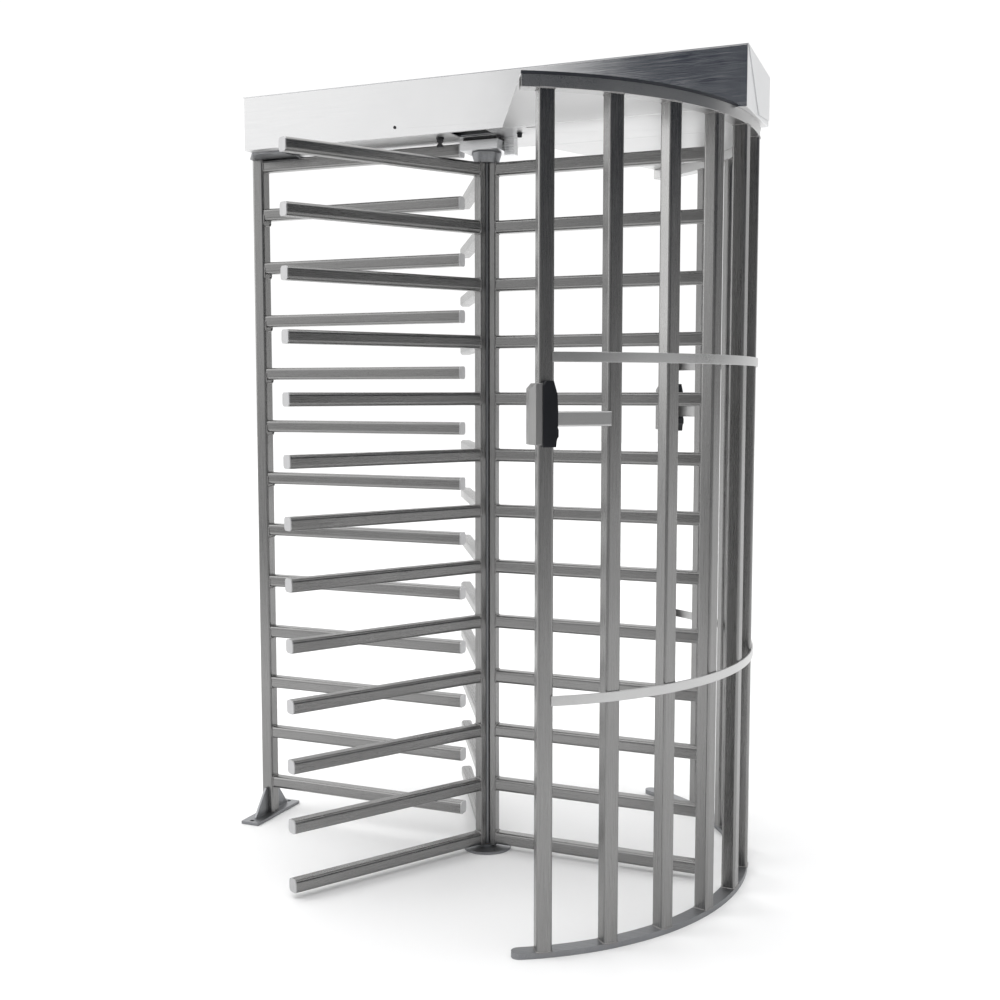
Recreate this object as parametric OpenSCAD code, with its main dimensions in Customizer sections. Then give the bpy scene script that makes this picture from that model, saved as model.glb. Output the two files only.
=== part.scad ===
// Full-height three-wing turnstile with a bar cage, a comb barrier and an overhead drive box.
// Origin on the floor at the rotor axis. +X points to the cage, +Y to the back, +Z up. Millimetres.

/* [Rotor] */
// Number of arms on each wing
arm_count = 13; // [3:1:14]
// Height between one arm and the next
arm_pitch = 168; // [120:1:200]
// Height of the lowest arm's centre
arm_low_z = 36; // [30:1:120]
// Width and height of an arm tube
arm_size = 38; // [30:1:45]
// Radius on the long edges of an arm tube
arm_edge_r = 10; // [3:0.5:12]
// Wall of the arm tubes
arm_wall = 2; // [1.5:0.5:4]
// Distance from the rotor axis to the end of an arm, cap included
wing_reach = 670; // [450:1:700]
// Thickness of the end caps
cap_t = 3; // [2:0.5:8]
// Radial depth of each wing's upright
upright_depth = 20; // [16:1:30]
// Width of each wing's upright, across the wing
upright_w = 32; // [26:1:36]
// Wall of the uprights
upright_wall = 3; // [2:0.5:5]
// Radius of the central core rod
core_r = 14; // [13:0.5:20]

/* [Barrier] */
// Drop from an arm's centre to the comb bar below it
comb_drop = 90; // [70:1:100]
// Distance from the rotor axis to the comb bars' free ends
comb_gap = 80; // [64:1:120]
// Distance from the rotor axis to the centre of the barrier post
post_offset = 787; // [740:1:850]
// Width of the post, along the comb
post_w = 40; // [40:1:60]
// Depth of the post, across the comb
post_d = 42; // [40:1:80]
// Wall of the post
post_wall = 3; // [2:0.5:5]
// Width of the post's foot plate
foot_w = 64; // [56:1:120]
// Length of the foot plate
foot_len = 250; // [240:1:360]
// Thickness of the foot plate
foot_t = 10; // [6:1:16]
// Height of the foot's gussets above the plate
gusset_h = 85; // [40:1:140]
// Thickness of the foot's gussets
gusset_t = 8; // [5:0.5:12]
// Radius of the foot's anchor holes
foot_hole_r = 7; // [4:0.5:9]
// Distance between the foot's anchor holes
foot_hole_gap = 218; // [200:1:220]

/* [Cage] */
// Number of upright bars in the cage
bar_count = 10; // [10:1:10]
// Angle between neighbouring bars
bar_step = 13; // [11:0.1:13.5]
// Angle from +X to the middle of the cage
cage_turn = 2.5; // [0:0.5:3]
// Radius of the circle through the bars' centres
cage_r = 770; // [745:1:820]
// Width of a cage bar and of the rings
bar_w = 40; // [30:1:44]
// Radius on the edges of a cage bar
bar_edge_r = 7; // [2:0.5:8]
// Wall of the cage bars
bar_wall = 2.5; // [1.5:0.5:4]
// Half of the angle that the rings span
cage_half_angle = 63; // [63:0.5:66]
// Height of the bottom ring
bottom_ring_h = 15; // [10:1:30]
// Height of the top ring
top_ring_h = 30; // [20:1:45]
// Wall of the top ring
top_ring_wall = 3; // [2:0.5:5]
// Height of the upper band's centre
upper_band_z = 1484; // [1300:1:1700]
// Height of the lower band's centre
lower_band_z = 649; // [400:1:900]
// Height of a band
band_h = 25; // [15:1:40]
// Thickness of a band
band_t = 5; // [3:0.5:8]
// Height of the black seal on the top ring
seal_h = 7; // [4:0.5:10]

/* [Header] */
// Height of the header's underside above the floor
header_z = 2140; // [2130:1:2300]
// Height of the header's front
header_h = 160; // [150:1:200]
// Distance from the rotor axis to the header's front
header_front = 142; // [140:1:170]
// Distance from the rotor axis to the header's back
header_back = 142; // [140:1:180]
// Distance from the rotor axis to the header's left end
header_reach = 752; // [740:1:780]
// Fall of the lid towards the back, in degrees
lid_fall = 5; // [2:0.5:8]
// Thickness of the header's sheet metal
sheet_t = 2.5; // [1.5:0.5:4]
// Thickness of the base plate
base_t = 3; // [2:0.5:6]
// Width of the long inner beams
beam_w = 25; // [20:1:30]
// Height of the long inner beams
beam_h = 40; // [30:1:44]
// Distance from the rotor axis to a beam's centre
beam_y = 52; // [48:1:56]

/* [Bearings] */
// Side of the square bearing block under the header
block_w = 120; // [90:1:140]
// Height of the bearing block
block_h = 28; // [24:1:36]
// Height of the dark spacer between the block and the header
spacer_h = 10; // [6:1:14]
// Radius of the drive shaft
shaft_r = 20; // [14:0.5:24]
// Wall of the bushes
bush_wall = 5; // [3:0.5:8]
// Radius of the floor flange
flange_r = 74; // [60:1:90]
// Thickness of the floor flange
flange_t = 8; // [6:1:12]
// Radius of the circle of the floor flange's bolt holes
flange_bolt_circle_r = 57; // [45:1:70]
// Radius of the floor flange's bolt holes
flange_hole_r = 5.5; // [4:0.5:7]
// Radius of the lower pivot
pivot_r = 10; // [8:0.5:12]

/* [Mechanism] */
// Radius of the index disc
index_r = 75; // [60:1:80]
// Thickness of the index disc
index_t = 10; // [6:1:14]
// Number of notches in the index disc
notch_count = 12; // [12:12:12]
// Width of a notch
notch_w = 15; // [14:0.5:18]
// Depth of a notch
notch_depth = 11; // [10:0.5:14]
// Distance from a pawl's pivot to the line of its nose
pawl_len = 90; // [80:1:100]
// Width of a pawl's nose
nose_w = 10; // [6:0.5:10]
// Radius of the pawl pins
pawl_pin_r = 4; // [3:0.5:5]
// Radius of the rotary damper
damper_r = 45; // [35:1:48]
// Height of the rotary damper
damper_h = 26; // [16:1:32]
// Radius of the solenoid plungers
plunger_r = 5; // [3:0.5:6]

/* [Readers] */
// Height of a reader's lower edge
reader_z = 1274; // [900:1:1300]
// Height of a reader
reader_h = 147; // [130:1:170]
// Depth of a reader's cover, outwards from the bar
reader_depth = 30; // [22:1:40]
// Width of a reader's black cover
cover_w = 34; // [24:1:36]
// Height of the cross tube beside a reader
cross_tube_h = 36; // [30:1:50]
// Depth of the cross tube
cross_tube_d = 18; // [12:1:25]

/* [Fits] */
// Radial clearance of a turning fit
run_clear = 0.08; // [0.02:0.01:0.1]
// Gap between pieces that only lie against each other
seat_gap = 0.3; // [0.1:0.05:0.5]

/* [Hidden] */
$fn = 48;

steel = "#b9bcc0";
dark_steel = "#6f7478";
bright = "#dcdee0";
black = "#1c1e22";
bronze = "#b08a4a";
plastic = "#8a8f94";

wing_b = 0;
wing_c = 120;
wing_a = 240;
upright_in = core_r;
upright_out = upright_in + upright_depth;
arm_len = wing_reach - cap_t - upright_out;
arm_top_z = arm_low_z + (arm_count - 1) * arm_pitch;
column_low = arm_low_z - arm_size / 2 - 2;
column_top = arm_top_z + arm_size / 2;
hub_r = upright_out + 10;

post_in_x = -post_offset + post_w / 2;
comb_len = -post_in_x - comb_gap - cap_t;
bracket_t = 6;
comb_top_z = header_z - bracket_t - arm_size / 2 - 1;

ring_in = cage_r - bar_w / 2;
ring_out = cage_r + bar_w / 2;
canopy_r = ring_out - 7;
bar_low = bottom_ring_h;
face_gap = 0.05;
ring_top = header_z - face_gap;
bar_high = ring_top - top_ring_h;
bar_corner_r = sqrt(ring_out * ring_out + bar_w * bar_w / 4);
band_in = bar_corner_r + seat_gap / 6;

header_left = -header_reach;
header_right = ring_out + 10;
header_len = header_right - header_left;
header_deep = header_front + header_back;
roof_z = header_z + header_h;
lid_gap = 0.3;
panel_drop = sheet_t / cos(lid_fall) + lid_gap;
inner_z = header_z + base_t;
cheek_t = 2;
cheek_gap = 0.5;
hinge_pin_r = 4;
knuckle_r = 8;
knuckle_len = 30;
hinge_xs = [-560, 560];
hinge_y = header_back + knuckle_r + 1;
hinge_z = roof_z - header_deep * tan(lid_fall) - knuckle_r - 0.5;
leaf_t = 3;

block_low = header_z - spacer_h - block_h;
disc_low = inner_z + beam_h + 4;
disc_high = disc_low + index_t;
pawl_x = index_r + 20;
pawl_bar_w = 10;
nose_gap = 3.5;
nose_drop = 2.4;
tail_len = 30;
plunger_y = pawl_len + tail_len - 2;
pawl_mid = disc_low + index_t / 2;
solenoid_len = 50;
solenoid_w = 34;
solenoid_gap = 35;
yoke_w = 10;
yoke_clear = 1;
yoke_wall = 5;
bracket_low = disc_high + 12;
damper_plate_t = 4;
damper_low = bracket_low + damper_plate_t;
shaft_top = damper_low + damper_h + 6;
cover_bulge = 3;
lock_x = -111;
lock_y = -86;
lock_r = 10;
plug_r = 6;
lock_rim = 5;
gland_x = -600;
gland_r = 10;
screw_x = -230;
screw_r = 2.5;

function roof_at(y) = roof_z - (y + header_front) * tan(lid_fall);
function bar_angle(n) = cage_turn + (n - (bar_count + 1) / 2) * bar_step;

// ---- plain sections ----

module rounded_2d(w, h, r) {
    square([w - 2 * r, h], center = true);
    square([w, h - 2 * r], center = true);
    for (x = [-1, 1], y = [-1, 1])
        translate([x * (w / 2 - r), y * (h / 2 - r)]) circle(r);
}

module tube_2d(w, h, r, wall) {
    difference() {
        rounded_2d(w, h, r);
        rounded_2d(w - 2 * wall, h - 2 * wall, max(r - wall, 0.5));
    }
}

// A tube along +X from x0, its section in Y and Z
module tube_x(x0, len, w, h, r, wall) {
    translate([x0, 0, 0]) rotate([90, 0, 90]) linear_extrude(len) tube_2d(w, h, r, wall);
}

// A cap at x0 whose plug enters a tube that ends there; the plug points to -X
module cap_x(x0) {
    plug = arm_size - 2 * arm_wall - 0.4;
    translate([x0, 0, 0]) rotate([90, 0, 90])
        linear_extrude(cap_t) rounded_2d(arm_size, arm_size, arm_edge_r);
    translate([x0 - 9, 0, 0]) rotate([90, 0, 90])
        linear_extrude(9.5) rounded_2d(plug, plug, arm_edge_r - arm_wall);
}

module arc_bar(r0, r1, z0, z1, a0, a1) {
    rotate([0, 0, a0]) rotate_extrude(angle = a1 - a0, $fn = 180)
        translate([r0, z0]) square([r1 - r0, z1 - z0]);
}

// ---- comb barrier ----

module barrier_post() color(steel)
    translate([-post_offset, 0, foot_t])
        linear_extrude(header_z - bracket_t - foot_t) tube_2d(post_w, post_d, bar_edge_r, post_wall);

module foot_gusset() {
    reach = foot_hole_gap / 2 - foot_hole_r - 9 - post_d / 2;
    translate([-gusset_t / 2, post_d / 2, foot_t])
        rotate([90, 0, 90]) linear_extrude(gusset_t)
            polygon([[0, 0], [reach, 0], [reach, 4], [10, gusset_h], [0, gusset_h]]);
}

module post_foot() color(dark_steel) translate([-post_offset, 0, 0]) {
    difference() {
        translate([-foot_w / 2, -foot_len / 2, 0]) cube([foot_w, foot_len, foot_t]);
        for (s = [-1, 1])
            translate([0, s * foot_hole_gap / 2, -1]) cylinder(r = foot_hole_r, h = foot_t + 2);
    }
    foot_gusset();
    mirror([0, 1, 0]) foot_gusset();
}

module post_top_bracket() color(dark_steel) {
    outer = -post_offset - post_w / 2;
    translate([0, 0, header_z - bracket_t]) linear_extrude(bracket_t)
        polygon([[outer, -30], [outer + 54, -101], [outer + 162, -101], [outer + 162, 101],
            [outer + 54, 101], [outer, 30]]);
}

function comb_zs() = [for (i = [0 : arm_count - 2]) arm_top_z - comb_drop - i * arm_pitch];

module comb_bars() color(steel) {
    for (z = concat([comb_top_z], comb_zs()))
        translate([0, 0, z]) tube_x(post_in_x, comb_len, arm_size, arm_size, arm_edge_r, arm_wall);
}

module comb_end_caps() color(bright) {
    for (z = concat([comb_top_z], comb_zs()))
        translate([0, 0, z]) cap_x(-comb_gap - cap_t);
}

// ---- cage ----

module cage_bars() color(steel)
    for (n = [1 : bar_count])
        rotate([0, 0, bar_angle(n)]) translate([cage_r, 0, bar_low])
            linear_extrude(bar_high - bar_low) tube_2d(bar_w, bar_w, bar_edge_r, bar_wall);

module cage_top_ring() color(steel)
    rotate([0, 0, cage_turn - cage_half_angle]) rotate_extrude(angle = 2 * cage_half_angle, $fn = 180)
        translate([cage_r, ring_top - top_ring_h / 2])
            difference() {
                square([bar_w, top_ring_h], center = true);
                square([bar_w - 2 * top_ring_wall, top_ring_h - 2 * top_ring_wall], center = true);
            }

// The seal stops short of the header on both sides
module cage_top_seal() color(black) {
    front_end = asin((header_front + 2) / canopy_r);
    back_end = asin((header_back + 2) / canopy_r);
    arc_bar(canopy_r + seat_gap, ring_out + 1, header_z, header_z + seal_h,
        cage_turn - cage_half_angle, -front_end);
    arc_bar(canopy_r + seat_gap, ring_out + 1, header_z, header_z + seal_h,
        back_end, cage_turn + cage_half_angle);
}

// A flat bar with a half-round end on each side
module cage_bottom_ring() color(dark_steel) {
    arc_bar(ring_in, ring_out, 0, bottom_ring_h, cage_turn - cage_half_angle, cage_turn + cage_half_angle);
    for (a = [cage_turn - cage_half_angle, cage_turn + cage_half_angle])
        rotate([0, 0, a]) translate([cage_r, 0, 0]) cylinder(r = bar_w / 2 - 0.2, h = bottom_ring_h);
}

module cage_band(z) color(bright)
    arc_bar(band_in, band_in + band_t, z - band_h / 2, z + band_h / 2, bar_angle(1) + 1, bar_angle(bar_count) - 1);

module upper_cage_band() cage_band(upper_band_z);
module lower_cage_band() cage_band(lower_band_z);

// A flat plate between the header's side at edge_y and the ring, up to end_angle
module canopy_2d(edge_y, end_angle) {
    far = canopy_r + 60;
    y = edge_y + seat_gap;
    intersection() {
        circle(canopy_r, $fn = 180);
        polygon([[110, y], [canopy_r * cos(end_angle), canopy_r * sin(end_angle)],
            [far, canopy_r * sin(end_angle)], [far, y]]);
    }
}

module front_canopy_plate() color(bright)
    translate([0, 0, header_z]) mirror([0, 1, 0]) linear_extrude(base_t)
        canopy_2d(header_front, cage_half_angle - cage_turn);

module rear_canopy_plate() color(bright)
    translate([0, 0, header_z]) linear_extrude(base_t) canopy_2d(header_back, cage_half_angle + cage_turn);

// ---- header box ----

// The volume under a roof that falls to the back, from y0 to y1, its top lowered by drop
module under_roof(x0, x1, y0, y1, z0, drop) {
    translate([x0, 0, 0]) rotate([90, 0, 90]) linear_extrude(x1 - x0)
        polygon([[y0, z0], [y1, z0], [y1, roof_at(y1) - drop], [y0, roof_at(y0) - drop]]);
}

module header_base_plate() color(bright) {
    difference() {
        translate([header_left + sheet_t, -header_front + sheet_t, header_z])
            cube([header_len - 2 * sheet_t, header_deep - 2 * sheet_t, base_t]);
        translate([0, 0, header_z - 1]) cylinder(r = shaft_r + bush_wall + 5, h = base_t + 2);
        translate([-block_w / 2 + 4, -header_front + sheet_t + 5, header_z - 1])
            cube([block_w - 8, header_front - sheet_t - 5 - block_w / 2 - 3, base_t + 2]);
        translate([lock_x, lock_y, header_z - 1]) cylinder(r = lock_r + run_clear, h = base_t + 2);
        translate([172, -120, header_z - 1]) cube([34, 8, base_t + 2]);
        translate([127, -54, header_z - 1]) cylinder(r = 6, h = base_t + 2);
    }
}

module header_front_panel() color(bright)
    difference() {
        under_roof(header_left, header_right, -header_front, -header_front + sheet_t, header_z, panel_drop);
        translate([screw_x, -header_front - 1, header_z + 28]) rotate([-90, 0, 0])
            cylinder(r = screw_r + run_clear, h = sheet_t + 2);
    }

module header_rear_panel() color(bright)
    difference() {
        under_roof(header_left, header_right, header_back - sheet_t, header_back, header_z, panel_drop);
        translate([gland_x, header_back - sheet_t - 1, header_z + 60])
            rotate([-90, 0, 0]) cylinder(r = gland_r + run_clear, h = sheet_t + 2);
    }

module header_left_end() color(bright)
    under_roof(header_left, header_left + sheet_t, -header_front + sheet_t, header_back - sheet_t,
        header_z, panel_drop);

module header_right_end() color(bright)
    under_roof(header_right - sheet_t, header_right, -header_front + sheet_t, header_back - sheet_t,
        header_z, panel_drop);

module header_beams() color(dark_steel)
    for (s = [-1, 1])
        translate([0, s * beam_y, inner_z + beam_h / 2])
            tube_x(header_left + sheet_t, header_len - 2 * sheet_t, beam_w, beam_h, 3, 2.5);

module lid_cheek(x) {
    y0 = -header_front + 16;
    translate([x, 0, 0]) rotate([90, 0, 90]) linear_extrude(cheek_t)
        polygon([[y0, roof_at(y0) - sheet_t], [header_back, roof_at(header_back) - sheet_t],
            [header_back, header_z + 16], [6, header_z + 6]]);
}

module header_lid() color(bright) {
    difference() {
        union() {
            difference() {
                under_roof(header_left - cheek_gap - cheek_t, header_right + cheek_gap + cheek_t,
                    -header_front, header_back, header_z, 0);
                under_roof(header_left - 20, header_right + 20, -header_front - 1, header_back + 1,
                    header_z - 1, sheet_t / cos(lid_fall));
            }
            lid_cheek(header_left - cheek_gap - cheek_t);
            lid_cheek(header_right + cheek_gap);
            for (x = hinge_xs) {
                translate([x - knuckle_len / 2, hinge_y, hinge_z]) rotate([0, 90, 0])
                    cylinder(r = knuckle_r, h = knuckle_len);
                translate([x - knuckle_len / 2, header_back - 4, roof_at(header_back) - sheet_t + 0.1])
                    cube([knuckle_len, hinge_y - header_back + 4, sheet_t - 0.2]);
            }
        }
        for (x = hinge_xs)
            translate([x - knuckle_len / 2 - 1, hinge_y, hinge_z]) rotate([0, 90, 0])
                cylinder(r = hinge_pin_r + run_clear, h = knuckle_len + 2);
    }
}

module lid_hinge_leaves() color(steel)
    for (x = hinge_xs)
        difference() {
            union() {
                for (s = [-1, 1])
                    translate([x + s * (knuckle_len + seat_gap) - knuckle_len / 2, hinge_y, hinge_z])
                        rotate([0, 90, 0]) cylinder(r = knuckle_r, h = knuckle_len);
                for (s = [-1, 1])
                    translate([x + s * (knuckle_len + seat_gap) - knuckle_len / 2, header_back, hinge_z - 30])
                        cube([knuckle_len, leaf_t, 30]);
                translate([x - 1.5 * knuckle_len - seat_gap, header_back, hinge_z - 40])
                    cube([3 * knuckle_len + 2 * seat_gap, leaf_t, 24]);
            }
            translate([x - 2 * knuckle_len, hinge_y, hinge_z]) rotate([0, 90, 0])
                cylinder(r = hinge_pin_r, h = 4 * knuckle_len);
        }

module panel_screw() color(black)
    translate([screw_x, 0, header_z + 28]) rotate([-90, 0, 0]) {
        translate([0, 0, -header_front - 1.5]) cylinder(r = screw_r + 2, h = 1.5);
        translate([0, 0, -header_front - 1]) cylinder(r = screw_r, h = sheet_t + 6);
    }

module cable_gland() color(plastic)
    translate([gland_x, header_back, header_z + 60]) rotate([-90, 0, 0])
        difference() {
            union() {
                translate([0, 0, -sheet_t - 10]) cylinder(r = gland_r, h = sheet_t + 12);
                cylinder(r = gland_r + 5, h = 7, $fn = 6);
                cylinder(r = gland_r + 1, h = 18);
                translate([0, 0, -sheet_t - 5]) cylinder(r = gland_r + 5, h = 5, $fn = 6);
            }
            translate([0, 0, -20]) cylinder(r = gland_r - 4, h = 50);
        }

module lid_hinge_pins() color(dark_steel)
    for (x = hinge_xs)
        translate([x - 1.5 * knuckle_len - seat_gap, hinge_y, hinge_z]) rotate([0, 90, 0])
            cylinder(r = hinge_pin_r, h = 3 * knuckle_len + 2 * seat_gap);

// ---- bearings and rotor ----

module upper_bearing_block() color(bright)
    difference() {
        translate([-block_w / 2, -block_w / 2, block_low]) cube([block_w, block_w, block_h]);
        translate([0, 0, block_low - 1]) cylinder(r = shaft_r + bush_wall, h = block_h + 2);
    }

module bearing_spacer() color(black)
    difference() {
        translate([-block_w / 2 + 8, -block_w / 2 + 8, header_z - spacer_h])
            cube([block_w - 16, block_w - 16, spacer_h]);
        translate([0, 0, header_z - spacer_h - 1]) cylinder(r = shaft_r + bush_wall, h = spacer_h + 2);
    }

module upper_bush() color(bronze)
    translate([0, 0, block_low])
        difference() {
            cylinder(r = shaft_r + bush_wall, h = block_h + spacer_h);
            translate([0, 0, -1]) cylinder(r = shaft_r + run_clear, h = block_h + spacer_h + 2);
        }

module floor_flange() color(dark_steel)
    difference() {
        union() {
            cylinder(r = flange_r, h = flange_t);
            cylinder(r = pivot_r + bush_wall + 12, h = column_low - 1);
        }
        translate([0, 0, 3]) cylinder(r = pivot_r + bush_wall, h = flange_t + 20);
        for (k = [0 : 3])
            rotate([0, 0, 45 + 90 * k]) translate([flange_bolt_circle_r, 0, -1])
                cylinder(r = flange_hole_r, h = flange_t + 2);
    }

module lower_bush() color(bronze)
    translate([0, 0, 3])
        difference() {
            cylinder(r = pivot_r + bush_wall, h = column_low - 4);
            translate([0, 0, -1]) cylinder(r = pivot_r + run_clear, h = flange_t + 20);
        }

module rotor_core() color(dark_steel) {
    translate([0, 0, 3 + seat_gap]) cylinder(r = pivot_r, h = column_low - 3);
    translate([0, 0, column_low]) cylinder(r = core_r, h = column_top - column_low);
}

module rotor_hub() color(dark_steel) {
    neck = block_low - 1 - column_top;
    cone = neck - 3;
    translate([0, 0, column_top]) cylinder(r1 = upright_out + 2, r2 = hub_r, h = cone);
    translate([0, 0, column_top + cone]) cylinder(r = hub_r, h = neck - cone);
    translate([0, 0, column_top + neck]) cylinder(r = shaft_r, h = shaft_top - column_top - neck);
}

module wing_upright(angle) color(steel)
    rotate([0, 0, angle]) translate([(upright_in + upright_out) / 2, 0, column_low])
        linear_extrude(column_top - column_low) tube_2d(upright_depth, upright_w, 3, upright_wall);

module wing_arms(angle) color(steel)
    rotate([0, 0, angle])
        for (i = [0 : arm_count - 1])
            translate([0, 0, arm_low_z + i * arm_pitch])
                tube_x(upright_out, arm_len, arm_size, arm_size, arm_edge_r, arm_wall);

module arm_end_caps() color(bright)
    for (a = [wing_a, wing_b, wing_c]) rotate([0, 0, a])
        for (i = [0 : arm_count - 1])
            translate([0, 0, arm_low_z + i * arm_pitch]) cap_x(wing_reach - cap_t);

module wing_a_upright() wing_upright(wing_a);
module wing_b_upright() wing_upright(wing_b);
module wing_c_upright() wing_upright(wing_c);
module wing_a_arms() wing_arms(wing_a);
module wing_b_arms() wing_arms(wing_b);
module wing_c_arms() wing_arms(wing_c);

// ---- locking and counting ----

module index_disc() color(dark_steel)
    translate([0, 0, disc_low]) linear_extrude(index_t)
        difference() {
            circle(index_r, $fn = 96);
            circle(shaft_r);
            for (k = [0 : notch_count - 1])
                rotate(k * 360 / notch_count)
                    translate([index_r - notch_depth, -notch_w / 2]) square([notch_depth + 5, notch_w]);
        }

// The pawl on the -X side; its nose points to the axis
module pawl() {
    nose_x = -index_r - nose_gap;
    bar_x = -pawl_x;
    nose_low = -nose_w / 2 - nose_drop;
    difference() {
        translate([0, 0, disc_low]) linear_extrude(index_t) {
            translate([bar_x - pawl_bar_w / 2, nose_low])
                square([pawl_bar_w, pawl_len + tail_len - nose_low]);
            translate([bar_x, nose_low]) square([nose_x - bar_x, nose_w]);
            translate([bar_x, pawl_len]) circle(pawl_pin_r + 5);
        }
        translate([bar_x, pawl_len, disc_low - 1]) cylinder(r = pawl_pin_r + run_clear, h = index_t + 2);
    }
}

module solenoid() {
    x1 = -pawl_x - pawl_bar_w / 2 - solenoid_gap;
    difference() {
        translate([x1 - solenoid_len, plunger_y - solenoid_w / 2, inner_z])
            cube([solenoid_len, solenoid_w, pawl_mid + solenoid_w / 2 - inner_z]);
        translate([x1 - solenoid_len + 8, plunger_y, pawl_mid]) rotate([0, 90, 0])
            cylinder(r = plunger_r + run_clear, h = solenoid_len);
    }
}

// The rod ends in a yoke that spans the pawl's tail
module plunger() {
    slot_half = pawl_bar_w / 2 + yoke_clear;
    yoke_left = -pawl_x - slot_half - yoke_wall;
    rod_x = yoke_left - solenoid_gap - 25;
    translate([rod_x, plunger_y, pawl_mid]) rotate([0, 90, 0]) cylinder(r = plunger_r, h = yoke_left - rod_x + 1);
    difference() {
        translate([yoke_left, plunger_y - yoke_w / 2, disc_low])
            cube([2 * slot_half + 2 * yoke_wall, yoke_w, index_t + yoke_clear + 3]);
        translate([-pawl_x - slot_half, plunger_y - yoke_w, disc_low - 1])
            cube([2 * slot_half, 2 * yoke_w, index_t + yoke_clear + 1]);
    }
}

module entry_pawl() color(bronze) pawl();
module exit_pawl() color(bronze) mirror([1, 0, 0]) pawl();
module entry_solenoid() color(black) solenoid();
module exit_solenoid() color(black) mirror([1, 0, 0]) solenoid();
module entry_plunger() color(bright) plunger();
module exit_plunger() color(bright) mirror([1, 0, 0]) plunger();

module pawl_pins() color(dark_steel)
    for (s = [-1, 1])
        translate([s * pawl_x, pawl_len, inner_z]) {
            cylinder(r = pawl_pin_r, h = disc_high + 4 - inner_z);
            cylinder(r = pawl_pin_r + 4, h = disc_low - inner_z - seat_gap);
        }

module count_sensor() color(black)
    difference() {
        translate([-16, -index_r - 24, disc_low - 4]) cube([32, 48, index_t + 14]);
        translate([-20, -index_r - 3, disc_low - 1]) cube([40, 60, index_t + 2]);
    }

module control_box() color(plastic)
    translate([-500, -header_front + sheet_t + 8, inner_z]) {
        cube([190, header_front - sheet_t - 8 - beam_y - beam_w / 2 - seat_gap, 34]);
        translate([0, 0, beam_h + seat_gap]) cube([190, 150, 58]);
        translate([0, 0, 30]) cube([190, 30, beam_h - 28]);
    }

module power_supply() color(steel)
    translate([300, -header_front + sheet_t + 12, inner_z + beam_h]) cube([170, 140, 46]);

module junction_box() color(bright)
    translate([block_w / 2 + 3, -16, header_z - 50]) cube([30, 32, 50]);

module damper_bracket() color(steel)
    difference() {
        union() {
            translate([-76, -62, bracket_low]) cube([152, 124, damper_plate_t]);
            for (x = [-1, 1], y = [-1, 1])
                translate([x * 70 - 6, y * 56 - 6, inner_z + beam_h])
                    cube([12, 12, bracket_low - inner_z - beam_h + 1]);
        }
        translate([0, 0, bracket_low - 1]) cylinder(r = shaft_r + 4, h = damper_plate_t + 2);
    }

module rotary_damper() color(black)
    translate([0, 0, damper_low])
        difference() {
            union() {
                cylinder(r = damper_r, h = damper_h);
                translate([-damper_r - 10, -8, 0]) cube([2 * damper_r + 20, 16, 5]);
            }
            translate([0, 0, -1]) cylinder(r = shaft_r + run_clear, h = damper_h + 2);
        }

module lock_cylinder() color(black)
    translate([lock_x, lock_y, header_z - lock_rim])
        difference() {
            union() {
                cylinder(r = lock_r, h = base_t + lock_rim + 8);
                cylinder(r = lock_r + 1.5, h = lock_rim);
            }
            translate([0, 0, -1]) cylinder(r = plug_r + run_clear, h = base_t + lock_rim + 12);
        }

// The plug has a waisted thumb grip below and a cam above
module lock_plug() color(black)
    translate([lock_x, lock_y, header_z - lock_rim]) {
        translate([0, 0, -1]) cylinder(r = plug_r, h = base_t + lock_rim + 11);
        translate([0, 4, 0]) rotate([90, 0, 0]) linear_extrude(8)
            polygon([[-9, -1], [9, -1], [9, -6], [4, -12], [9, -18], [9, -24], [-9, -24], [-9, -18], [-4, -12],
                [-9, -6]]);
        translate([-5, -5, base_t + lock_rim + 8.3]) cube([20, 10, 3]);
    }

// ---- readers ----

// Local frame of the first bar: +X outwards from the axis, +Y along the ring
module reader_housing() {
    inner = cage_r - bar_w / 2;
    face = ring_out + seat_gap;
    side = -bar_w / 2 - seat_gap;
    split = bar_w / 2 - cover_w - seat_gap;
    top = reader_z + reader_h;
    intersection() {
        translate([0, 0, reader_z]) linear_extrude(reader_h)
            polygon([[inner, side], [inner, side - 20], [ring_out - 10, side - 20],
                [ring_out + reader_depth - 5, side - 10], [ring_out + reader_depth - 5, split],
                [face, split], [face, side]]);
        rotate([90, 0, 90]) linear_extrude(2 * cage_r)
            polygon([[side - 21, reader_z - 1], [bar_w, reader_z - 1], [bar_w, top + 1], [side - 8, top + 1],
                [side - 21, top - 14]]);
    }
}

module reader_cover() {
    right = bar_w / 2;
    left = right - cover_w;
    top = reader_z + reader_h + 6;
    translate([ring_out + seat_gap, 0, 0]) rotate([90, 0, 90]) linear_extrude(reader_depth)
        polygon([[left, reader_z - 5], [right - 2, reader_z - 5], [right, reader_z + 12],
            [right + 1, reader_z + 16], [right + 4, reader_z + 20], [right + 4, reader_z + 36],
            [right + 2, reader_z + 42], [right + cover_bulge, reader_z + 80], [right + 1, top - 32],
            [right - 8, top], [left + 8, top], [left, top - 12]]);
}

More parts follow.
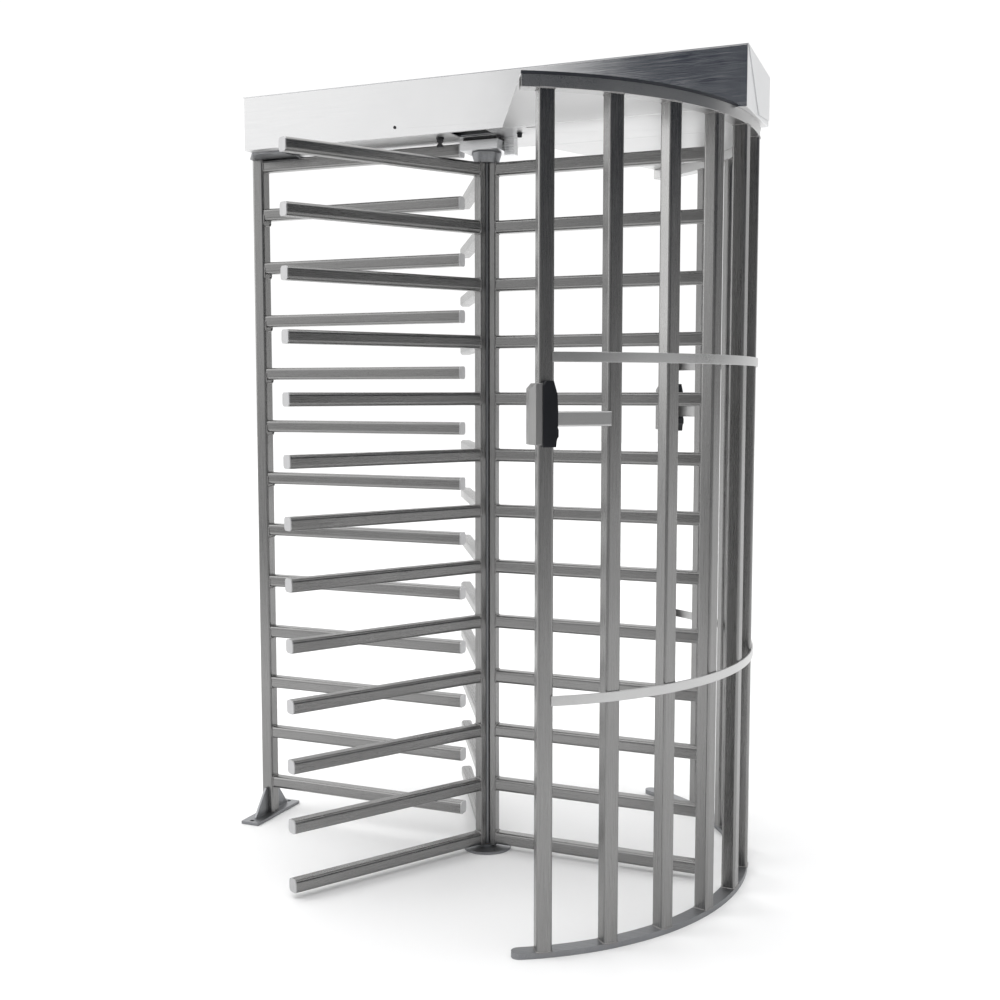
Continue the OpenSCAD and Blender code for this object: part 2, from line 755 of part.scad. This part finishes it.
// A straight tube from the reader to the next bar, on the bars' outer faces
module reader_tube() {
    half = bar_step / 2;
    corner = atan(bar_w / 2 / ring_out);
    face = bar_corner_r * cos(half - corner) + seat_gap / 3;
    cover_end = ring_out * sin(half) - bar_w / 2 * cos(half);
    next_end = bar_corner_r * sin(half - corner) + 9;
    tube_z = reader_z + 44;
    start = -cover_end + cover_bulge + 2 * seat_gap;
    rotate([0, 0, half]) intersection() {
        translate([0, 0, tube_z]) linear_extrude(cross_tube_h)
            polygon([[face, start], [face, next_end], [face + cross_tube_d, next_end - 8],
                [face + cross_tube_d, start]]);
        translate([face + cross_tube_d / 2, start - 1, tube_z + cross_tube_h / 2]) rotate([-90, 0, 0])
            linear_extrude(next_end - start + 2) rounded_2d(cross_tube_d, cross_tube_h, 4);
    }
}

module at_entry() rotate([0, 0, bar_angle(1)]) children();
module at_exit() mirror([0, 1, 0]) rotate([0, 0, -bar_angle(bar_count)]) children();

module entry_reader_housing() color(steel) at_entry() reader_housing();
module exit_reader_housing() color(steel) at_exit() reader_housing();
module entry_reader_cover() color(black) at_entry() reader_cover();
module exit_reader_cover() color(black) at_exit() reader_cover();
module entry_reader_tube() color(steel) at_entry() reader_tube();
module exit_reader_tube() color(steel) at_exit() reader_tube();

barrier_post();
post_foot();
post_top_bracket();
comb_bars();
comb_end_caps();
cage_bars();
cage_top_ring();
cage_top_seal();
cage_bottom_ring();
upper_cage_band();
lower_cage_band();
front_canopy_plate();
rear_canopy_plate();
header_base_plate();
header_front_panel();
header_rear_panel();
header_left_end();
header_right_end();
header_beams();
header_lid();
lid_hinge_leaves();
lid_hinge_pins();
panel_screw();
cable_gland();
bearing_spacer();
upper_bearing_block();
upper_bush();
floor_flange();
lower_bush();
rotor_core();
rotor_hub();
wing_a_upright();
wing_b_upright();
wing_c_upright();
wing_a_arms();
wing_b_arms();
wing_c_arms();
arm_end_caps();
index_disc();
entry_pawl();
exit_pawl();
pawl_pins();
entry_solenoid();
exit_solenoid();
entry_plunger();
exit_plunger();
count_sensor();
damper_bracket();
rotary_damper();
control_box();
power_supply();
junction_box();
lock_cylinder();
lock_plug();
entry_reader_housing();
entry_reader_cover();
entry_reader_tube();
exit_reader_housing();
exit_reader_cover();
exit_reader_tube();
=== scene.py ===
"""Studio view of the full-height turnstile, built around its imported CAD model."""

import math
import random

import bmesh
import bpy
from mathutils import Matrix, Vector


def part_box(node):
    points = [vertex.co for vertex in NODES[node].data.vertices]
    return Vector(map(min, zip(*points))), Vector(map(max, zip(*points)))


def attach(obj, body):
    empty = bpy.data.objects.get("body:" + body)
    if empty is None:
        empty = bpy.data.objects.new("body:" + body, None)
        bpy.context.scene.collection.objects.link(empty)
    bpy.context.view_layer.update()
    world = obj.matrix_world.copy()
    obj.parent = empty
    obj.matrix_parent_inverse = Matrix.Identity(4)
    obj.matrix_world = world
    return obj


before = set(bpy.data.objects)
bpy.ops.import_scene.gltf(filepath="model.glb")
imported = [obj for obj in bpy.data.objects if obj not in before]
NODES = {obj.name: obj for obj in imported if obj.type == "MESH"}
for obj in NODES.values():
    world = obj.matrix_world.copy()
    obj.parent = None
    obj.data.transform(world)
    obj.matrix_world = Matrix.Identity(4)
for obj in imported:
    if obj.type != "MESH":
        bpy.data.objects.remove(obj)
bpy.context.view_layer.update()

random.seed(7)

# ---- camera, as fitted to the photograph's point of view ----

CAMERA_AT = (1.5276, -3.4845, 1.4007)
CAMERA_PITCH_DEG = 90 - 4.894
CAMERA_YAW_DEG = 23.081
CAMERA_LENS_MM = 45.52
CAMERA_SENSOR_MM = 36.0

camera_data = bpy.data.cameras.new("studio_camera")
camera = bpy.data.objects.new("studio_camera", camera_data)
bpy.context.scene.collection.objects.link(camera)
camera.location = CAMERA_AT
camera.rotation_euler = (math.radians(CAMERA_PITCH_DEG), 0, math.radians(CAMERA_YAW_DEG))
camera_data.sensor_width = CAMERA_SENSOR_MM
camera_data.lens = CAMERA_LENS_MM
bpy.context.scene.camera = camera


# ---- materials ----

class Nodes:
    """Short hand for building a material's node tree."""

    def __init__(self, name):
        self.material = bpy.data.materials.new(name)
        self.material.use_nodes = True
        self.tree = self.material.node_tree
        self.tree.nodes.clear()
        self.output = self.tree.nodes.new("ShaderNodeOutputMaterial")
        self.shader = self.tree.nodes.new("ShaderNodeBsdfPrincipled")
        self.tree.links.new(self.shader.outputs["BSDF"], self.output.inputs["Surface"])
        coords = self.tree.nodes.new("ShaderNodeTexCoord")
        self.coords = coords.outputs["Object"]

    def link(self, source, target):
        self.tree.links.new(source, target)

    def mapped(self, scale, turn_deg=0.0):
        """Object coordinates, turned about Z and then stretched."""
        turn = self.tree.nodes.new("ShaderNodeMapping")
        turn.vector_type = "POINT"
        turn.inputs["Rotation"].default_value = (0, 0, math.radians(-turn_deg))
        self.link(self.coords, turn.inputs["Vector"])
        stretch = self.tree.nodes.new("ShaderNodeMapping")
        stretch.inputs["Scale"].default_value = scale
        self.link(turn.outputs["Vector"], stretch.inputs["Vector"])
        return stretch.outputs["Vector"]

    def noise(self, vector, scale, detail=4.0, rough=0.6):
        node = self.tree.nodes.new("ShaderNodeTexNoise")
        node.inputs["Scale"].default_value = scale
        node.inputs["Detail"].default_value = detail
        node.inputs["Roughness"].default_value = rough
        self.link(vector, node.inputs["Vector"])
        return node.outputs["Fac"]

    def ramp(self, value, low, high, out_low, out_high):
        node = self.tree.nodes.new("ShaderNodeMapRange")
        node.inputs["From Min"].default_value = low
        node.inputs["From Max"].default_value = high
        node.inputs["To Min"].default_value = out_low
        node.inputs["To Max"].default_value = out_high
        self.link(value, node.inputs["Value"])
        return node.outputs["Result"]

    def mix(self, factor, a, b, blend="MIX"):
        node = self.tree.nodes.new("ShaderNodeMix")
        node.data_type = "RGBA"
        node.blend_type = blend
        if isinstance(factor, float):
            node.inputs[0].default_value = factor
        else:
            self.link(factor, node.inputs[0])
        for socket, value in ((node.inputs[6], a), (node.inputs[7], b)):
            if isinstance(value, tuple):
                socket.default_value = (*value, 1.0)
            else:
                self.link(value, socket)
        return node.outputs[2]

    def bump(self, height, strength, distance, normal=None):
        node = self.tree.nodes.new("ShaderNodeBump")
        node.inputs["Strength"].default_value = strength
        node.inputs["Distance"].default_value = distance
        self.link(height, node.inputs["Height"])
        if normal is not None:
            self.link(normal, node.inputs["Normal"])
        return node.outputs["Normal"]


def brushed_steel(name, light, dark, rough, turn_deg=0.0, along="x", grain=0.12):
    """Satin stainless steel with a grain that runs along one direction."""
    n = Nodes(name)
    fine, coarse = 900.0, 9.0
    scale = {"x": (coarse, fine, fine), "z": (fine, fine, coarse)}[along]
    streaks = n.noise(n.mapped(scale, turn_deg), 1.0, 3.0, 0.65)
    broad_scale = tuple(s * 0.12 for s in scale)
    broad = n.noise(n.mapped(broad_scale, turn_deg), 1.0, 2.0, 0.5)
    cloud = n.noise(n.coords, 3.5, 5.0, 0.55)
    specks = n.noise(n.coords, 160.0, 2.0, 0.5)
    colour = n.mix(n.ramp(streaks, 0.3, 0.7, 0.0, 1.0), dark, light)
    colour = n.mix(n.ramp(cloud, 0.35, 0.7, 0.0, 0.22), colour, dark)
    colour = n.mix(n.ramp(specks, 0.70, 0.78, 0.0, 0.25), colour, tuple(c * 0.7 for c in dark))
    n.link(colour, n.shader.inputs["Base Color"])
    n.shader.inputs["Metallic"].default_value = 1.0
    roughness = n.tree.nodes.new("ShaderNodeMath")
    roughness.operation = "ADD"
    n.link(n.ramp(streaks, 0.25, 0.75, rough - 0.05, rough + 0.07), roughness.inputs[0])
    n.link(n.ramp(cloud, 0.3, 0.75, -0.03, 0.06), roughness.inputs[1])
    n.link(roughness.outputs[0], n.shader.inputs["Roughness"])
    grain_normal = n.bump(streaks, grain, 0.0004)
    n.link(n.bump(broad, grain * 0.5, 0.0006, grain_normal), n.shader.inputs["Normal"])
    return n.material


def moulded(name, base, worn, rough, bump_scale=700.0, bump=0.25, specular=0.5):
    """Fine-textured plastic, rubber or paint with slight wear and dust."""
    n = Nodes(name)
    texture = n.noise(n.coords, bump_scale, 3.0, 0.6)
    cloud = n.noise(n.coords, 14.0, 5.0, 0.6)
    scuffs = n.noise(n.mapped((60.0, 60.0, 8.0)), 1.0, 4.0, 0.7)
    colour = n.mix(n.ramp(cloud, 0.35, 0.75, 0.0, 0.6), base, worn)
    scuffed = tuple(min(1.0, c * 1.8 + 0.01) for c in worn)
    colour = n.mix(n.ramp(scuffs, 0.66, 0.8, 0.0, 0.5), colour, scuffed)
    n.link(colour, n.shader.inputs["Base Color"])
    n.shader.inputs["Specular IOR Level"].default_value = specular
    n.link(n.ramp(cloud, 0.3, 0.8, rough - 0.06, rough + 0.1), n.shader.inputs["Roughness"])
    n.link(n.bump(texture, bump, 0.0003), n.shader.inputs["Normal"])
    return n.material


TUBE_LIGHT, TUBE_DARK = (0.29, 0.288, 0.285), (0.215, 0.214, 0.212)
SHEET_LIGHT, SHEET_DARK = (0.80, 0.805, 0.81), (0.70, 0.705, 0.715)
MATERIALS = {
    "tube_x": brushed_steel("tube_x", TUBE_LIGHT, TUBE_DARK, 0.26),
    "tube_120": brushed_steel("tube_120", TUBE_LIGHT, TUBE_DARK, 0.26, turn_deg=120),
    "tube_240": brushed_steel("tube_240", TUBE_LIGHT, TUBE_DARK, 0.26, turn_deg=240),
    "tube_z": brushed_steel("tube_z", TUBE_LIGHT, TUBE_DARK, 0.26, along="z"),
    "sheet_x": brushed_steel("sheet_x", SHEET_LIGHT, SHEET_DARK, 0.30, grain=0.07),
    "fascia": brushed_steel("fascia", (0.87, 0.87, 0.872), (0.80, 0.802, 0.806), 0.15, grain=0.02),
    "canopy": brushed_steel("canopy", (0.70, 0.70, 0.70), (0.62, 0.62, 0.62), 0.36, grain=0.05),
    "housing": brushed_steel("housing", (0.36, 0.358, 0.355), (0.29, 0.289, 0.287), 0.34, along="z",
                             grain=0.08),
    "ring": brushed_steel("ring", (0.56, 0.56, 0.555), (0.46, 0.46, 0.46), 0.3, grain=0.08),
    "cap": brushed_steel("cap", (0.55, 0.55, 0.55), (0.44, 0.44, 0.45), 0.38, along="z", grain=0.08),
    "dull": brushed_steel("dull", (0.34, 0.345, 0.355), (0.22, 0.225, 0.235), 0.42, grain=0.2),
    "ground": brushed_steel("ground", (0.62, 0.62, 0.63), (0.5, 0.5, 0.51), 0.26, grain=0.1),
    # seal: near-black strip on top of the cage ring. It draws the dark line where the ring meets the
    # header, and is partly painted shade of that gap.
    "seal": moulded("seal", (0.012, 0.014, 0.02), (0.03, 0.032, 0.04), 0.5),
    "black_metal": moulded("black_metal", (0.012, 0.012, 0.014), (0.035, 0.035, 0.04), 0.38, 300.0),
    "black_plastic": moulded("black_plastic", (0.008, 0.009, 0.011), (0.014, 0.015, 0.019), 0.42,
                              specular=0.22),
    "grey_plastic": moulded("grey_plastic", (0.32, 0.34, 0.35), (0.25, 0.27, 0.28), 0.5),
    "weld": brushed_steel("weld", (0.36, 0.355, 0.35), (0.24, 0.235, 0.235), 0.4, grain=0.3),
    "bronze": brushed_steel("bronze", (0.62, 0.42, 0.2), (0.45, 0.29, 0.12), 0.3, along="z"),
}
FINISH = {
    "tube_x": ["comb_bars", "wing_b_arms"],
    "tube_120": ["wing_c_arms"],
    "tube_240": ["wing_a_arms"],
    "tube_z": ["barrier_post", "cage_bars", "wing_a_upright", "wing_b_upright", "wing_c_upright"],
    "sheet_x": ["header_lid", "header_right_end", "header_left_end", "header_rear_panel",
                "upper_bearing_block", "junction_box"],
    "fascia": ["header_front_panel"],
    "canopy": ["front_canopy_plate", "rear_canopy_plate", "header_base_plate"],
    "housing": ["entry_reader_housing", "exit_reader_housing"],
    "ring": ["cage_top_ring", "upper_cage_band", "lower_cage_band", "entry_reader_tube",
             "exit_reader_tube"],
    "cap": ["arm_end_caps", "comb_end_caps"],
    "dull": ["cage_bottom_ring", "post_foot", "post_top_bracket", "header_beams", "lid_hinge_leaves",
             "floor_flange", "rotor_core", "rotor_hub", "damper_bracket", "power_supply"],
    "ground": ["lid_hinge_pins", "index_disc", "entry_pawl", "exit_pawl", "pawl_pins", "entry_plunger",
               "exit_plunger"],
    # cage_top_seal is drawn near-black to give the dark line under the header, partly painted shade of the
    # gap there.
    "seal": ["cage_top_seal"],
    "black_metal": ["bearing_spacer", "lock_plug", "panel_screw", "entry_solenoid", "exit_solenoid",
                    "rotary_damper", "lock_cylinder"],
    "black_plastic": ["cable_gland", "count_sensor", "entry_reader_cover", "exit_reader_cover"],
    "grey_plastic": ["control_box"],
    "bronze": ["upper_bush", "lower_bush"],
}
for finish, names in FINISH.items():
    for node in names:
        NODES[node].data.materials.clear()
        NODES[node].data.materials.append(MATERIALS[finish])
unpainted = sorted(set(NODES) - {node for names in FINISH.values() for node in names})
assert not unpainted, unpainted


# ---- softened edges: folded sheet, plate and moulded pieces have no knife edges ----

MM = 0.001
SOFT_EDGE_MM = {
    0.8: ["header_front_panel", "header_rear_panel", "header_left_end", "header_right_end", "header_lid",
          "front_canopy_plate", "rear_canopy_plate", "header_base_plate"],
    1.2: ["post_foot", "post_top_bracket", "upper_bearing_block", "floor_flange", "cage_top_ring",
          "cage_bottom_ring", "upper_cage_band", "lower_cage_band", "junction_box", "rotor_hub"],
    1.6: ["entry_reader_housing", "exit_reader_housing", "entry_reader_cover", "exit_reader_cover",
          "control_box", "power_supply"],
}


def soften(node, width_mm):
    weld = NODES[node].modifiers.new("weld", "WELD")
    weld.merge_threshold = 0.01 * MM
    bevel = NODES[node].modifiers.new("soft_edge", "BEVEL")
    bevel.width = width_mm * MM
    bevel.segments = 3
    bevel.limit_method = "ANGLE"
    bevel.angle_limit = math.radians(38)
    shading = NODES[node].modifiers.new("shading", "WEIGHTED_NORMAL")
    shading.keep_sharp = True


for width_mm, names in SOFT_EDGE_MM.items():
    for node in names:
        soften(node, width_mm)


# ---- weld beads where tubes meet ----

BEAD_R = 2.2 * MM
BEAD_OUT = BEAD_R * 0.4  # how far its middle stands off the face it is laid on
BEAD_RIPPLES_PER_M = 260
BEAD_RIPPLE, BEAD_UNEVEN = 0.16, 0.05
BEAD_STEPS, BEAD_SIDES = 56, 7


def rounded_square(half, radius, steps):
    """Evenly spaced points (u, v) around a square of that half width with rounded corners."""
    straight, arc = 2 * (half - radius), math.pi / 2 * radius
    length = 4 * (straight + arc)
    points = []
    for i in range(steps):
        along = length * i / steps
        side, rest = divmod(along, straight + arc)
        if rest < straight:
            u, v = half, rest - straight / 2
        else:
            turn = (rest - straight) / radius
            u, v = half - radius + radius * math.cos(turn), half - radius + radius * math.sin(turn)
        for _ in range(int(side)):
            u, v = -v, u
        points.append((u, v, along))
    return points


def add_bead(bm, centre, across, up, half, corner):
    """A rippled bead around a tube: centre of its end, and the two directions of its section."""
    rows = []
    phase = random.uniform(0, 6.28)
    for u, v, along in rounded_square(half, corner, BEAD_STEPS):
        outward = (across * u + up * v).normalized()
        normal = across.cross(up)
        wave = BEAD_RIPPLE * math.sin(2 * math.pi * BEAD_RIPPLES_PER_M * along + phase)
        r = BEAD_R * (1 + wave + random.uniform(-BEAD_UNEVEN, BEAD_UNEVEN))
        at = centre + across * u + up * v
        rows.append([bm.verts.new(at + r * (math.cos(a) * outward + math.sin(a) * normal))
                     for a in (2 * math.pi * k / BEAD_SIDES for k in range(BEAD_SIDES))])
    for row, following in zip(rows, rows[1:] + rows[:1]):
        for k in range(BEAD_SIDES):
            nxt = (k + 1) % BEAD_SIDES
            bm.faces.new((row[k], following[k], following[nxt], row[nxt]))


def piece(name, bm, finish, body):
    bmesh.ops.recalc_face_normals(bm, faces=bm.faces)
    mesh = bpy.data.meshes.new(name)
    bm.to_mesh(mesh)
    bm.free()
    mesh.materials.append(MATERIALS[finish])
    for polygon in mesh.polygons:
        polygon.use_smooth = True
    obj = bpy.data.objects.new(name, mesh)
    bpy.context.scene.collection.objects.link(obj)
    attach(obj, body)
    return obj


ARMS = 13
ARM_CORNER = 10 * MM
Y_AXIS, Z_AXIS = Vector((0, 1, 0)), Vector((0, 0, 1))


def levels(node, size):
    """Heights of the middles of evenly spaced bars in one node."""
    low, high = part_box(node)
    pitch = (high.z - low.z - size) / (ARMS - 1)
    return [low.z + size / 2 + i * pitch for i in range(ARMS)]


arm_low, arm_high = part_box("wing_b_arms")
arm_size = arm_high.y - arm_low.y
for wing, turn_deg in (("wing_a", 240), ("wing_b", 0), ("wing_c", 120)):
    bm = bmesh.new()
    for z in levels("wing_b_arms", arm_size):
        add_bead(bm, Vector((arm_low.x + BEAD_OUT, 0, z)), Y_AXIS, Z_AXIS, arm_size / 2, ARM_CORNER)
    wing_turn = Matrix.Rotation(math.radians(turn_deg), 3, "Z")
    bmesh.ops.rotate(bm, verts=bm.verts, cent=(0, 0, 0), matrix=wing_turn)
    piece(wing + "_weld_beads", bm, "weld", "rotor")

comb_low, comb_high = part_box("comb_bars")
comb_size = comb_high.y - comb_low.y
comb_middle = (comb_low.y + comb_high.y) / 2
post_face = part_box("barrier_post")[1].x + BEAD_OUT
bm = bmesh.new()
for z in levels("comb_bars", comb_size):
    add_bead(bm, Vector((post_face, comb_middle, z)), Y_AXIS, Z_AXIS, comb_size / 2, ARM_CORNER)
piece("comb_weld_beads", bm, "weld", "frame")

# The cage bars stand on the bottom ring, evenly spaced around the rotor's axis.
CAGE_BARS, CAGE_FIRST_DEG, CAGE_STEP_DEG = 10, -56, 13
CAGE_R, CAGE_BAR, CAGE_CORNER = 770 * MM, 40 * MM, 7 * MM
bm = bmesh.new()
for i in range(CAGE_BARS):
    angle = math.radians(CAGE_FIRST_DEG + i * CAGE_STEP_DEG)
    outward = Vector((math.cos(angle), math.sin(angle), 0))
    sideways = Vector((-math.sin(angle), math.cos(angle), 0))
    for z in (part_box("cage_bottom_ring")[1].z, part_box("cage_top_ring")[0].z):
        add_bead(bm, outward * CAGE_R + Z_AXIS * z, outward, sideways, CAGE_BAR / 2, CAGE_CORNER)
piece("cage_weld_beads", bm, "weld", "frame")


# ---- the small dark plug that hangs below the header, right of the bearing block ----

PLUG_AT = (127 * MM, -54 * MM)
# Radius and height in mm, up from its lower end to the plate above it.
PLUG_PROFILE = [(0, -12.0), (5.0, -12.0), (6.6, -11.0), (7.0, -9.5), (7.0, -1.6), (8.6, -1.2), (8.8, -0.1),
                (0, -0.1)]
PLUG_SIDES = 28
bm = bmesh.new()
plug_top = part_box("header_base_plate")[0].z
rings = []
for r, z in PLUG_PROFILE:
    middle = Vector((*PLUG_AT, plug_top + z * MM))
    angles = [2 * math.pi * k / PLUG_SIDES for k in range(PLUG_SIDES if r else 1)]
    rings.append([bm.verts.new(middle + Vector((math.cos(a), math.sin(a), 0)) * r * MM) for a in angles])
for lower, upper in zip(rings, rings[1:]):
    for k in range(PLUG_SIDES):
        corners = [lower[k % len(lower)], lower[(k + 1) % len(lower)], upper[(k + 1) % len(upper)],
                   upper[k % len(upper)]]
        bm.faces.new(list(dict.fromkeys(corners)))
piece("underside_plug", bm, "black_plastic", "frame")


# ---- studio ----

def plane_object(name, corners, material):
    mesh = bpy.data.meshes.new(name)
    mesh.from_pydata([Vector(c) for c in corners], [], [tuple(range(len(corners)))])
    mesh.materials.append(material)
    obj = bpy.data.objects.new(name, mesh)
    bpy.context.scene.collection.objects.link(obj)
    return obj


def area_light(name, at, to, size, energy):
    data = bpy.data.lights.new(name, "AREA")
    data.shape = "RECTANGLE"
    data.size, data.size_y = size
    data.energy = energy
    obj = bpy.data.objects.new(name, data)
    bpy.context.scene.collection.objects.link(obj)
    obj.location = at
    obj.rotation_euler = (Vector(to) - Vector(at)).to_track_quat("-Z", "Y").to_euler()
    return obj


# The floor is pale where the camera sees it and greyer behind the camera, where the steel reflects it.
DIM_FROM_Y, DIM_TO_Y = -2.2, -6.5
FLOOR_DIM = (0.30, 0.30, 0.30)


def matte(name, colour):
    n = Nodes(name)
    cloud = n.noise(n.coords, 0.7, 2.0, 0.5)
    darker = tuple(c * 0.985 for c in colour)
    pale = n.mix(n.ramp(cloud, 0.3, 0.7, 0.0, 1.0), colour, darker)
    split_coords = n.tree.nodes.new("ShaderNodeSeparateXYZ")
    n.link(n.coords, split_coords.inputs[0])
    n.link(n.mix(n.ramp(split_coords.outputs["Y"], DIM_TO_Y, DIM_FROM_Y, 0.0, 1.0), FLOOR_DIM, pale),
           n.shader.inputs["Base Color"])
    n.shader.inputs["Roughness"].default_value = 0.9
    n.shader.inputs["Specular IOR Level"].default_value = 0.1
    return n.material


# The surroundings: brightness by compass direction (degrees from +X, towards +Y), and one dark card.
# They give the steel its light left sides and darker right sides. The card is what the header's
# front reflects at its right end.
COMPASS = [(-180, 1.0), (-135, 1.0), (-112, 0.92), (-92, 0.55), (-75, 0.42), (-50, 0.25),
           (-22, 0.2), (-8, 0.4), (8, 0.52), (35, 0.34), (62, 0.8), (84, 1.0), (180, 1.0)]
OVERHEAD = 0.95
DARK_CARD = (0.018, 0.024, 0.038)
CARD_FROM_DEG, CARD_TO_DEG = -110.5, 40.0
CARD_LOW, CARD_HIGH = 0.105, 0.62
CARD_SOFT_LOW, CARD_SOFT_HIGH = 0.05, 0.1
CARD_EDGE = 0.006
WORLD_STRENGTH = 1.05

world = bpy.data.worlds.new("studio")
world.use_nodes = True
tree = world.node_tree
background = tree.nodes["Background"]


def math_node(operation, a, b=None):
    node = tree.nodes.new("ShaderNodeMath")
    node.operation = operation
    for index, value in enumerate((a, b)):
        if value is None:
            continue
        if isinstance(value, (int, float)):
            node.inputs[index].default_value = value
        else:
            tree.links.new(value, node.inputs[index])
    return node.outputs[0]


def smooth_step(value, low, high):
    node = tree.nodes.new("ShaderNodeMapRange")
    node.interpolation_type = "SMOOTHSTEP"
    node.inputs["From Min"].default_value = low
    node.inputs["From Max"].default_value = high
    tree.links.new(value, node.inputs["Value"])
    return node.outputs["Result"]


direction = tree.nodes.new("ShaderNodeTexCoord").outputs["Generated"]
split = tree.nodes.new("ShaderNodeSeparateXYZ")
tree.links.new(direction, split.inputs[0])
compass = math_node("ARCTAN2", split.outputs["Y"], split.outputs["X"])
compass_share = math_node("ADD", math_node("DIVIDE", compass, 2 * math.pi), 0.5)
ramp = tree.nodes.new("ShaderNodeValToRGB")
ramp.color_ramp.interpolation = "EASE"
while len(ramp.color_ramp.elements) > 1:
    ramp.color_ramp.elements.remove(ramp.color_ramp.elements[-1])
for index, (degrees, level) in enumerate(COMPASS):
    place = (degrees + 180) / 360
    stop = ramp.color_ramp.elements[0] if index == 0 else ramp.color_ramp.elements.new(place)
    stop.position = place
    stop.color = (level, level, level, 1.0)
tree.links.new(compass_share, ramp.inputs[0])


def colour_mix(factor, a, b):
    node = tree.nodes.new("ShaderNodeMix")
    node.data_type = "RGBA"
    tree.links.new(factor, node.inputs[0])
    for socket, value in ((node.inputs[6], a), (node.inputs[7], b)):
        if isinstance(value, tuple):
            socket.default_value = value
        else:
            tree.links.new(value, socket)
    return node.outputs[2]


overhead = smooth_step(split.outputs["Z"], 0.45, 0.8)
lit = colour_mix(overhead, ramp.outputs[0], (OVERHEAD, OVERHEAD, OVERHEAD, 1.0))
above = smooth_step(split.outputs["Z"], CARD_LOW, CARD_LOW + CARD_SOFT_LOW)
below = math_node("SUBTRACT", 1.0, smooth_step(split.outputs["Z"], CARD_HIGH, CARD_HIGH + CARD_SOFT_HIGH))
card_height = math_node("MULTIPLY", above, below)
card_from, card_to = ((d + 180) / 360 for d in (CARD_FROM_DEG, CARD_TO_DEG))
after = smooth_step(compass_share, card_from - CARD_EDGE, card_from + CARD_EDGE)
before = math_node("SUBTRACT", 1.0, smooth_step(compass_share, card_to, card_to + 2 * CARD_EDGE))
card_width = math_node("MULTIPLY", after, before)
card = math_node("MULTIPLY", card_height, card_width)
tree.links.new(colour_mix(card, lit, (*DARK_CARD, 1.0)), background.inputs["Color"])
background.inputs["Strength"].default_value = WORLD_STRENGTH
bpy.context.scene.world = world

FLOOR_REACH = 30.0
plane_object("studio_floor", [(-FLOOR_REACH, -FLOOR_REACH, 0), (FLOOR_REACH, -FLOOR_REACH, 0),
                              (FLOOR_REACH, FLOOR_REACH, 0), (-FLOOR_REACH, FLOOR_REACH, 0)],
             matte("studio_floor", (0.93, 0.93, 0.93)))

overcast = bpy.data.lights.new("overcast", "SUN")
overcast.energy = 1.75
overcast.angle = math.radians(120)
overcast_object = bpy.data.objects.new("overcast", overcast)
bpy.context.scene.collection.objects.link(overcast_object)
area_light("left_key", (-4.2, -2.2, 2.6), (0, 0, 1.2), (1.6, 2.6), 30)

bpy.context.scene.view_settings.view_transform = "Standard"
bpy.context.scene.view_settings.look = "None"
